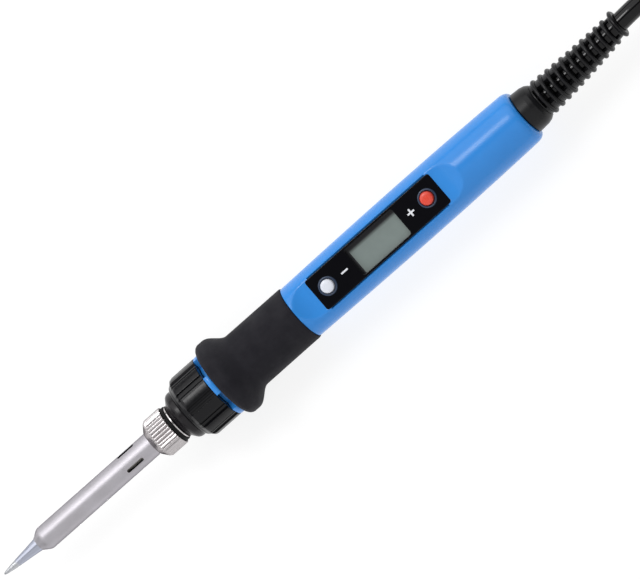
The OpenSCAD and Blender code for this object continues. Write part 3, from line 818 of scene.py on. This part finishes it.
def landLimit(tree, given, turn, x):
    sector = maths(tree, "MULTIPLY", maths(tree, "SUBTRACT", turn, given["Offset"]), given["Lands"])
    away = maths(tree, "MULTIPLY", maths(tree, "PINGPONG", sector, 0.5), 2.0)  # 0 mid-land, 1 mid-recess
    recess = addNode(tree, "ShaderNodeMapRange", {
        "Value": away, "From Min": 0.52, "From Max": 0.6}, interpolation_type="SMOOTHSTEP").outputs[0]
    rib = addNode(tree, "ShaderNodeMapRange", {
        "Value": away, "From Min": 0.9, "From Max": 0.84}, interpolation_type="SMOOTHSTEP").outputs[0]
    ribbed = maths(tree, "MULTIPLY", recess, maths(tree, "MULTIPLY_ADD", rib, 0.45, 0.55))
    behind = addNode(tree, "ShaderNodeMapRange", {
        "Value": x, "From Min": given["Start"], "From Max": maths(tree, "ADD", given["Start"], 0.0004)},
        interpolation_type="SMOOTHSTEP").outputs[0]
    depth = maths(tree, "MULTIPLY", maths(tree, "MULTIPLY", ribbed, behind), given["Recess"])
    return maths(tree, "SUBTRACT", given["Radius"], depth)


def makeCollar():
    profile = denser(rounded(collarOutline, 0.25, closed=True), 0.6)
    tree, geometry = radialCutTree("collarLands", {
        "Lands": ("NodeSocketFloat", 12.0), "Radius": ("NodeSocketFloat", 0.011),
        "Recess": ("NodeSocketFloat", 0.0005), "Offset": ("NodeSocketFloat", 0.0),
        "Start": ("NodeSocketFloat", -0.05)}, landLimit)
    endTree(tree, geometry, materials["collar_black"])
    mesh = evaluatedMesh(looseObject("collarBlank", turned(profile, 720)), tree, collarShape)
    return madePiece("ribbedCollar", mesh, "collar_black", "handle", "ribbed_collar")


makeCollar()

gripShape = {"frontX": -38.0, "frontR": 11.2, "flareR": 13.45, "flareEnd": -34.4, "waistX": -27.6,
             "gripR": 9.7, "rearX": -5.5, "boreR": 8.3}


def makeGrip(s):
    rise = s["flareR"] - s["frontR"]
    profile = [(s["frontX"], s["boreR"])]
    for a in (math.radians(6 * k) for k in range(16)):
        profile.append((s["frontX"] + 2 * (1 - math.cos(a)), s["frontR"] + rise * math.sin(a)))
    profile += [(s["flareEnd"] + (s["waistX"] - s["flareEnd"]) * k / 28,
                 s["gripR"] + (s["flareR"] - s["gripR"]) * (1 - eased(k / 28))) for k in range(29)]
    profile += [(x, s["gripR"] - 0.05 * (x - s["waistX"]) / 20)
                for x in spread(s["waistX"] + 1, s["rearX"] - 0.5, 1)]
    rearX, gripR = s["rearX"], s["gripR"]
    profile += [(rearX - 0.15, gripR - 0.12), (rearX, gripR - 0.35), (rearX, s["boreR"])]
    return madePiece("softGrip", turned(profile, 176), "grip_rubber", "handle", "grip_sleeve")


makeGrip(gripShape)
print("neck, collar and grip")


# Housing shells with the display facet

shell = {
    "frontX": -5.4, "middleX": 43.5, "roundX": 84.8, "rearX": 87.8, "frontR": 9.3, "middleR": 9.7,
    "endR": 9.2, "edge": 1.6, "wall": 1.4, "facetH": 7.3, "facetX0": 1.6, "facetX1": 54.9, "rampR": 12.0,
    "pocketX0": 3.5, "pocketX1": 53.7, "pocketHalf": 5.4, "pocketH": 5.95, "boreR": 6.0,
}


def smoothMin(a, b, soft):
    h = max(soft - abs(a - b), 0.0) / soft
    return min(a, b) - h * h * soft * 0.25


def shellRadius(x):
    s = shell
    end, endX = (s["frontR"], s["frontX"]) if x < s["middleX"] else (s["endR"], s["roundX"])
    part = min((x - s["middleX"]) / (endX - s["middleX"]), 1.0)
    return s["middleR"] - (s["middleR"] - end) * part * part


def facetHeight(x):
    s = shell
    past = max(s["facetX0"] - x, x - s["facetX1"], 0.0)
    if past >= s["rampR"]:
        return 99.0
    return s["facetH"] + s["rampR"] - math.sqrt(s["rampR"] ** 2 - past * past)


def housingOutline():
    s = shell
    rows = [(s["frontX"], 8.25), (s["frontX"], 8.9), (s["frontX"] + 0.05, 9.12), (s["frontX"] + 0.25, None)]
    rows += [(x, None) for x in spread(s["frontX"] + 0.6, s["roundX"], 0.6)]
    for a in (math.radians(k) for k in range(10, 91, 8)):
        rows.append((s["roundX"] + 3 * math.sin(a), s["endR"] - s["edge"] * (1 - math.cos(a))))
    rows += [(s["rearX"], 7.0), (s["rearX"], s["boreR"])]
    return rows


def drilled(bm, holes):
    source = looseObject("shellBlank", bm)
    drills = []
    for x, y, radius in holes:
        bit = bmesh.new()
        bmesh.ops.create_cone(bit, cap_ends=True, segments=48, radius1=radius * mm, radius2=radius * mm,
                              depth=6 * mm, matrix=Matrix.Translation((x * mm, y * mm, axisZ - 9.5 * mm)))
        drills.append(looseObject("drill", bit))
        cut = source.modifiers.new("drill", "BOOLEAN")
        cut.operation, cut.solver, cut.object = "DIFFERENCE", "EXACT", drills[-1]
    bpy.context.view_layer.update()
    mesh = bpy.data.meshes.new_from_object(source.evaluated_get(bpy.context.evaluated_depsgraph_get()))
    for spare in (source, *drills):
        bpy.data.objects.remove(spare)
    return mesh


def makeShell(name, low, high, replaced, holes=()):
    s = shell
    rows = housingOutline()
    degrees = [low, low + 0.6] + spread(low + 1.6, high - 1.6, 1.1) + [high - 0.6, high]
    angles = [math.radians(a) for a in degrees]
    stations = list(range(len(rows)))

    def outerAt(i, a):
        x, r = rows[i]
        reach = shellRadius(x) if r is None else r
        top = math.cos(a)
        if top > 0.05:
            reach = smoothMin(reach, facetHeight(x) / top, 0.3)
            if s["pocketX0"] < x < s["pocketX1"] and abs(reach * math.sin(a)) < s["pocketHalf"]:
                reach = min(reach, s["pocketH"] / top)
        nearEdge = min(a - math.radians(low), math.radians(high) - a)
        return reach - (0.12 if nearEdge < 1e-6 else 0.0)

    bm = bmesh.new()
    outer = [[bm.verts.new(placed(rows[i][0], a, outerAt(i, a))) for a in angles] for i in stations]
    inner = []
    for i in stations:
        x, r = rows[i]
        row = []
        for a in angles:
            radius = min(outerAt(i, a), shellRadius(x)) - s["wall"]
            if r is not None and x > s["roundX"]:
                radius = min(radius, s["boreR"])
            if x > s["rearX"] - 3:
                radius = min(radius, s["boreR"] - 0.02)
            if x <= s["frontX"] + 0.3:
                radius = 6.6
            row.append(bm.verts.new(placed(min(x, s["rearX"]), a, max(radius, 4.4))))
        inner.append(row)
    last, edge = len(stations) - 1, len(angles) - 1

    def solid(i, j):
        if not (0 <= i < last and 0 <= j < edge):
            return False
        x, a = (rows[i][0] + rows[i + 1][0]) / 2, (angles[j] + angles[j + 1]) / 2
        under = s["pocketX0"] + 0.6 < x < s["pocketX1"] - 0.6
        return not (under and math.cos(a) > 0 and abs(math.tan(a)) * s["pocketH"] < s["pocketHalf"] - 0.1)

    for i in range(last):
        for j in range(edge):
            if not solid(i, j):
                continue
            bm.faces.new((outer[i][j], outer[i + 1][j], outer[i + 1][j + 1], outer[i][j + 1]))
            bm.faces.new((inner[i][j], inner[i][j + 1], inner[i + 1][j + 1], inner[i + 1][j]))
            if not solid(i, j - 1):
                bm.faces.new((outer[i][j], inner[i][j], inner[i + 1][j], outer[i + 1][j]))
            if not solid(i, j + 1):
                bm.faces.new((outer[i][j + 1], outer[i + 1][j + 1],
                              inner[i + 1][j + 1], inner[i][j + 1]))
            if not solid(i - 1, j):
                bm.faces.new((outer[i][j], outer[i][j + 1], inner[i][j + 1], inner[i][j]))
            if not solid(i + 1, j):
                bm.faces.new((outer[i + 1][j], inner[i + 1][j], inner[i + 1][j + 1], outer[i + 1][j + 1]))
    bmesh.ops.delete(bm, geom=[v for v in bm.verts if not v.link_faces], context="VERTS")
    return madePiece(name, drilled(bm, holes) if holes else bm, "housing_blue", "handle", replaced)


makeShell("housingTop", -90, 90, "housing_top")
screwHoles = [(66.5, side * 4.6, 2.0) for side in (-1, 1)]  # x, y and radius over the housing's screws
makeShell("housingBottom", 90, 270, "housing_bottom", screwHoles)

ringShape = {"frontX": -39.9, "middleX": -39.0, "backX": -38.1, "rearX": -5.3, "ringR": 8.2,
             "tabR": 11.15, "tubeR": 6.6}
tabs = ((2.5, 17.5), (93.0, 29.0), (183.0, 16.5), (273.0, 33.0))  # middle and half spread, degrees


def makeFrontRing(s):
    angles = [math.radians(1.0 * k) for k in range(360)]
    front, back = s["frontX"], s["backX"]
    stations = [front, front + 0.12, s["middleX"], back - 0.12, back, back + 0.01, s["rearX"]]

    def outer(x, a):
        if x > s["backX"]:
            return 8.2
        degrees = math.degrees(a)
        isTab = any(abs((degrees - middle + 180) % 360 - 180) <= half for middle, half in tabs)
        edge = 0.12 if x in (s["frontX"], s["backX"]) else 0.0
        return (s["tabR"] if isTab else s["ringR"]) - edge

    bm = shellGrid(stations, angles, outer, lambda x, a: s["tubeR"], lambda i, j: True)
    return madePiece("frontRing", bm, "housing_blue", "handle")


makeFrontRing(ringShape)
print("housing")


# Display panel, display and buttons

panelShape = {
    "middleX": 28.6, "length": 51.2, "width": 11.4, "low": 5.9, "high": 7.5, "corner": 0.8, "edge": 0.12,
    "windowX": 28.5, "windowLength": 19.7, "windowWidth": 9.8, "buttonXs": (7.9, 49.1), "holeR": 2.35,
}


def roundRectangle(x, y, length, width, corner, steps=6):
    points = []
    for sx, sy, start in ((1, 1, 0), (-1, 1, 90), (-1, -1, 180), (1, -1, 270)):
        cx, cy = x + sx * (length / 2 - corner), y + sy * (width / 2 - corner)
        points += [(cx + corner * math.cos(math.radians(start + 90 * k / steps)),
                    cy + corner * math.sin(math.radians(start + 90 * k / steps))) for k in range(steps + 1)]
    return points


def circlePoints(x, y, radius, count=48):
    return [(x + radius * math.cos(math.tau * k / count), y + radius * math.sin(math.tau * k / count))
            for k in range(count)]


def flatPlate(outlines, low, high, edge):
    data = bpy.data.curves.new("plate", "CURVE")
    data.dimensions = "2D"
    data.fill_mode = "BOTH"
    data.extrude = ((high - low) / 2 - edge) * mm
    data.bevel_depth = edge * mm
    data.bevel_resolution = 3
    data.offset = -edge * mm
    for outline in outlines:
        spline = data.splines.new("POLY")
        spline.points.add(len(outline) - 1)
        for knot, (x, y) in zip(spline.points, outline):
            knot.co = (x * mm, y * mm, 0, 1)
        spline.use_cyclic_u = True
    source = bpy.data.objects.new("plate", data)
    bpy.context.scene.collection.objects.link(source)
    bpy.context.view_layer.update()
    mesh = bpy.data.meshes.new_from_object(source.evaluated_get(bpy.context.evaluated_depsgraph_get()))
    bpy.data.objects.remove(source)
    mesh.transform(Matrix.Translation((0, 0, axisZ + (low + high) / 2 * mm)))
    return mesh


def upright(profile, x, segments=72, y=0.0):
    bm = bmesh.new()
    rings = []
    for r, h in profile:
        z = axisZ + h * mm
        if r < 1e-6:
            rings.append([bm.verts.new((x * mm, y * mm, z))])
        else:
            rings.append([bm.verts.new(((x + r * math.cos(math.tau * k / segments)) * mm,
                                        (y + r * math.sin(math.tau * k / segments)) * mm, z))
                          for k in range(segments)])
    for a, b in zip(rings, rings[1:]):
        for k in range(segments):
            n = (k + 1) % segments
            if len(a) == 1:
                bm.faces.new((a[0], b[k], b[n]))
            elif len(b) == 1:
                bm.faces.new((a[k], b[0], a[n]))
            else:
                bm.faces.new((a[k], b[k], b[n], a[n]))
    return bm


def makePanel(s):
    outlines = [
        roundRectangle(s["middleX"], 0, s["length"], s["width"], s["corner"]),
        roundRectangle(s["windowX"], 0, s["windowLength"], s["windowWidth"], s["corner"]),
    ] + [circlePoints(x, 0, s["holeR"]) for x in s["buttonXs"]]
    mesh = flatPlate(outlines, s["low"], s["high"], s["edge"])
    madePiece("displayPanel", mesh, "panel_black", "handle", "display_panel")
    for name, x in zip(("minusCollar", "plusCollar"), s["buttonXs"]):
        ring = [(2.36, 7.0), (2.36, 7.75), (2.5, 7.98), (2.72, 8.05), (2.92, 7.96), (3.06, 7.7), (3.08, 7.4),
                (3.08, 7.0), (2.36, 7.0)]
        collar = madePiece(name, upright(ring, x), "panel_black", "handle")
        # the collar's blue-grey colour is a painted highlight of its rim
        collar.data.materials[0] = materials["collar_ring"]


def makeButtons():
    dome = [(0, 3.95), (1.2, 3.95), (1.2, 5.0), (2.9, 5.0), (2.9, 5.8), (2.15, 5.8), (2.15, 8.55),
            (2.05, 8.85), (1.85, 9.03), (1.4, 9.14), (0.7, 9.19), (0, 9.2)]
    minusX, plusX = panelShape["buttonXs"]
    madePiece("minusKey", upright(dome, minusX), "button_white", "minus_button", "minus_button")
    madePiece("plusKey", upright(dome, plusX), "button_red", "plus_button", "plus_button")


def makeMarks():
    # Symbols printed beside the buttons in white ink
    look = {"minusX": 14.85, "plusX": 42.35, "length": 2.6, "stroke": 0.55}
    material, tree, shader, place = startMaterial("whiteScreenInk")
    ink = noiseOf(tree, place, 0.8)
    mix = addNode(tree, "ShaderNodeMix", {
        0: ranged(tree, ink, 0, 1), 6: hexColour("#f4f6fa"), 7: hexColour("#e9edf4")}, data_type="RGBA")
    tree.links.new(mix.outputs[2], shader.inputs["Base Color"])
    shader.inputs["Roughness"].default_value = 0.45
    materials["ink_white"] = material
    length, stroke = look["length"], look["stroke"]
    half, thin = length / 2, stroke / 2
    x = look["plusX"]
    cross = [(x - half, -thin), (x - thin, -thin), (x - thin, -half), (x + thin, -half), (x + thin, -thin),
             (x + half, -thin), (x + half, thin), (x + thin, thin), (x + thin, half), (x - thin, half),
             (x - thin, thin), (x - half, thin)]
    bar = roundRectangle(look["minusX"], 0, length, stroke, 0.08, 2)
    for name, outline in (("minusMark", bar), ("plusMark", cross)):
        mesh = flatPlate([outline], 7.47, 7.53, 0.01)
        sharpened(mesh)
        mesh.materials.clear()
        mesh.materials.append(material)
        mark = bpy.data.objects.new(name, mesh)
        bpy.context.scene.collection.objects.link(mark)
        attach(mark, "handle")


makePanel(panelShape)
makeButtons()
makeMarks()
print("display panel, buttons and marks")


# Strain relief and the cord inside it

relief = {
    "baseX": 88.0, "taperX": 94.0, "firstRing": 95.9, "pitch": 2.83, "rings": 11, "endX": 128.4,
    "startR": 6.3, "endR": 4.7, "valley": 0.85, "boreR": 3.18, "flangeR": 4.85, "flangeT": 1.5, "band": 0.7,
    "bendX": 91.0, "bendY": 1.8, "windowHalf": 3.3, "web": 0.5,
}


def reliefSide(x):
    part = max(x - relief["bendX"], 0.0) / (relief["endX"] - relief["bendX"])
    return relief["bendY"] * part * part


def ringRadius(x):
    s = relief
    return s["startR"] + (s["endR"] - s["startR"]) * (x - s["firstRing"]) / (s["pitch"] * 10)


def makeReliefCore(s):
    head = rounded([(82.7, 3.2), (82.7, 7.3), (84.4, 7.3), (84.4, 5.9), (88.0, 5.9), (88.0, 7.25),
                    (91.5, 7.05), (93.0, 6.65), (94.2, 5.85), (94.2, 3.2)], 0.35, closed=True)
    madePiece("reliefHead", turned(head, 128), "relief_black", "handle", "strain_relief")
    lastX = s["endX"] - s["flangeT"] - 0.6
    stations = spread(94.0, lastX + 1.2, 0.19)
    angles = [math.radians(2.5 * k) for k in range(144)]

    def outer(x, a):
        return ringRadius(x) - s["valley"]

    def solid(i, j):
        x = (stations[i] + stations[i + 1]) / 2
        a = (angles[j] + angles[(j + 1) % 144]) / 2
        phase = ((x - s["firstRing"]) / s["pitch"]) % 1.0
        gap = min(phase, 1 - phase) * s["pitch"] > s["web"]
        return not (gap and 94.6 < x < lastX and abs(outer(x, a) * math.sin(a)) < s["windowHalf"])

    bm = shellGrid(stations, angles, outer, lambda x, a: s["boreR"], solid, reliefSide)
    madePiece("reliefCore", bm, "relief_black", "handle")


def makeReliefRings(s):
    tree, given = startTree("reliefRings", {
        "Rings": ("NodeSocketInt", 11), "Pitch": ("NodeSocketFloat", 0.00283),
        "First": ("NodeSocketFloat", 0.0959),
        "Start Radius": ("NodeSocketFloat", 0.0063), "End Radius": ("NodeSocketFloat", 0.0047),
        "Band": ("NodeSocketFloat", 0.0007)})
    line = addNode(tree, "GeometryNodeMeshLine", {"Count": given["Rings"]}, mode="OFFSET")
    offset = addNode(tree, "ShaderNodeCombineXYZ", {0: given["Pitch"]}).outputs[0]
    tree.links.new(offset, line.inputs["Offset"])
    start = addNode(tree, "ShaderNodeCombineXYZ", {0: given["First"], 2: axisZ}).outputs[0]
    tree.links.new(start, line.inputs["Start Location"])
    position = addNode(tree, "GeometryNodeInputPosition").outputs[0]
    x, y, z = addNode(tree, "ShaderNodeSeparateXYZ", {0: position}).outputs
    past = maths(tree, "MAXIMUM", maths(tree, "SUBTRACT", x, s["bendX"] * mm), 0.0)
    share = maths(tree, "DIVIDE", past, (s["endX"] - s["bendX"]) * mm)
    side = maths(tree, "MULTIPLY", maths(tree, "MULTIPLY", share, share), s["bendY"] * mm)
    bent = addNode(tree, "GeometryNodeSetPosition", {
        "Geometry": line.outputs[0],
        "Position": addNode(tree, "ShaderNodeCombineXYZ", {0: x, 1: side, 2: z}).outputs[0]})
    index = addNode(tree, "GeometryNodeInputIndex").outputs[0]
    part = maths(tree, "DIVIDE", index, maths(tree, "SUBTRACT", given["Rings"], 1.0))
    radius = addNode(tree, "ShaderNodeMix", {0: part, 2: given["Start Radius"], 3: given["End Radius"]},
                     data_type="FLOAT").outputs[0]
    size = maths(tree, "SUBTRACT", radius, given["Band"])
    circle = addNode(tree, "GeometryNodeCurvePrimitiveCircle", {"Resolution": 96, "Radius": 1.0}).outputs[0]
    outline = addNode(tree, "GeometryNodeCurvePrimitiveCircle", {
        "Resolution": 14, "Radius": given["Band"]}).outputs[0]
    turnedUp = addNode(tree, "GeometryNodeTransform", {
        "Geometry": circle, "Rotation": (0, math.pi / 2, 0)}).outputs[0]
    placedRings = addNode(tree, "GeometryNodeInstanceOnPoints", {
        "Points": bent.outputs[0], "Instance": turnedUp, "Scale": size})
    real = addNode(tree, "GeometryNodeRealizeInstances", {0: placedRings.outputs[0]})
    tube = addNode(tree, "GeometryNodeCurveToMesh", {"Curve": real.outputs[0], "Profile Curve": outline})
    endTree(tree, tube.outputs[0], materials["relief_black"])
    blank = bpy.data.objects.new("ringBlank", bpy.data.meshes.new("ringBlank"))
    bpy.context.scene.collection.objects.link(blank)
    mesh = evaluatedMesh(blank, tree, {
        "Rings": s["rings"], "Pitch": s["pitch"] * mm, "First": s["firstRing"] * mm,
        "Start Radius": s["startR"] * mm, "End Radius": s["endR"] * mm, "Band": s["band"] * mm})
    madePiece("reliefRings", mesh, "relief_black", "handle")
    endX = s["endX"]
    startX, flangeR = endX - s["flangeT"], s["flangeR"]
    flange = rounded([(startX, 3.2), (startX, flangeR - 0.6), (startX + 0.5, flangeR), (endX - 0.5, flangeR),
                      (endX, flangeR - 0.5), (endX, 3.2)], 0.3, closed=True)
    bm = turned(flange, 96)
    bmesh.ops.translate(bm, verts=bm.verts, vec=(0, s["bendY"] * mm, 0))
    madePiece("reliefFlange", bm, "relief_black", "handle")


def makeInnerCord():
    points = [(72, 0, axisZ / mm), (82, 0, axisZ / mm)]
    points += [(x, reliefSide(x), axisZ / mm) for x in spread(relief["bendX"], relief["endX"], 4.7)]
    source = cordCurve("innerCordLine", points, cordSizes["diameter"])
    mesh = bpy.data.meshes.new_from_object(source.evaluated_get(bpy.context.evaluated_depsgraph_get()))
    bpy.data.objects.remove(source)
    return madePiece("innerCord", mesh, "cord_black", "handle", "inner_cord")


makeReliefCore(relief)
makeReliefRings(relief)
makeInnerCord()
print("strain relief")


# Plug, tie and the cord's material and body

tieShape = {"x": 250.0, "width": 15.0, "thick": 0.8, "side": 28.15, "shoulder": 19.8, "topHalf": 16.65,
            "top": 28.15, "corner": 3.1, "endLength": 19.0,
            "endShift": 3, "endCorner": 2.5}


def tieLoop(s, out):
    side, top, shoulder = s["side"] + out, s["top"] + out, s["shoulder"] + 0.4 * out
    corners = [(-side, s["thick"] - out), (side, s["thick"] - out), (side, shoulder), (s["topHalf"], top),
               (-s["topHalf"], top), (-side, shoulder)]
    return rounded(corners, s["corner"] + out, 8, closed=True)


def makeTie(s):
    inside, outside = tieLoop(s, 0.0), tieLoop(s, s["thick"])
    soft = 0.22  # how far the strap's edges are rounded
    wide = s["width"]
    section = [(0, 0.25), (0, 0.75), (soft, 1), (wide - soft, 1), (wide, 0.75), (wide, 0.25),
               (wide - soft, 0), (soft, 0)]
    bm = bmesh.new()
    rings = []
    for near, far in zip(inside, outside):
        ring = []
        for along, part in section:
            y, z = (near[k] + (far[k] - near[k]) * part for k in (0, 1))
            ring.append(bm.verts.new((
                (s["x"] + along) * mm, (cordSizes["middleY"] + y) * mm, max(z, 0.0) * mm)))
        rings.append(ring)
    for a, b in zip(rings, rings[1:] + rings[:1]):
        for k in range(len(section)):
            n = (k + 1) % len(section)
            bm.faces.new((a[k], b[k], b[n], a[n]))
    madePiece("strapTie", bm, "tie_black", "handle", "hank_tie")
    low = s["top"] + s["thick"] - axisZ / mm
    middleX, middleY = s["x"] + wide / 2, cordSizes["middleY"] + s["endShift"]
    outline = roundRectangle(middleX, middleY, wide, s["endLength"], s["endCorner"])
    madePiece("strapTieEnd", flatPlate([outline], low, low + s["thick"], 0.15), "tie_black", "handle")


plugShape = {"x": 240.0, "length": 37.0, "middleZ": 21.25, "neckHalf": 6.3, "halfWidth": 17.65,
             "neckHeight": 5.2, "halfHeight": 6.85, "edge": 1.3, "squareness": 5.0, "ribsFrom": 266.0,
             "ribs": 3, "ribPitch": 2.6, "ribDepth": 0.55}


def makePlug(s):
    bm = bmesh.new()
    end = s["x"] + s["length"]
    rings = []
    for x in spread(s["x"], end, 0.2):
        width = s["neckHalf"] + (s["halfWidth"] - s["neckHalf"]) * eased((x - s["x"] - 2) / 20)
        height = s["neckHeight"] + (s["halfHeight"] - s["neckHeight"]) * eased((x - s["x"]) / 14)
        fromEnd = min(x - s["x"], end - x, s["edge"]) / s["edge"]
        inset = s["edge"] * (1 - math.sqrt(1 - (1 - fromEnd) ** 2))
        share = (x - s["ribsFrom"]) / s["ribPitch"]
        groove = s["ribDepth"] * (1 - math.cos(math.tau * share)) / 2 if 0 < share < s["ribs"] else 0.0
        ring = []
        for k in range(96):
            a = math.tau * k / 96
            c, q = math.cos(a), math.sin(a)
            reach = (abs(c) ** s["squareness"] + abs(q) ** s["squareness"]) ** (-1 / s["squareness"])
            y = cordSizes["middleY"] + c * reach * (width - inset - groove)
            z = s["middleZ"] + q * reach * (height - inset)
            ring.append(bm.verts.new((x * mm, y * mm, z * mm)))
        rings.append(ring)
    for a, b in zip(rings, rings[1:]):
        for k in range(96):
            n = (k + 1) % 96
            bm.faces.new((a[k], b[k], b[n], a[n]))
    bm.faces.new(rings[0])
    bm.faces.new(rings[-1])
    return madePiece("plugMoulding", bm, "plug_black", "handle", "plug_body")


makeTie(tieShape)
makePlug(plugShape)
print("tie and plug")

mainsCord.data.materials.append(materials["cord_black"])
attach(mainsCord, "handle")
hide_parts("cord_lead", "cord_hank", "plug_lead")
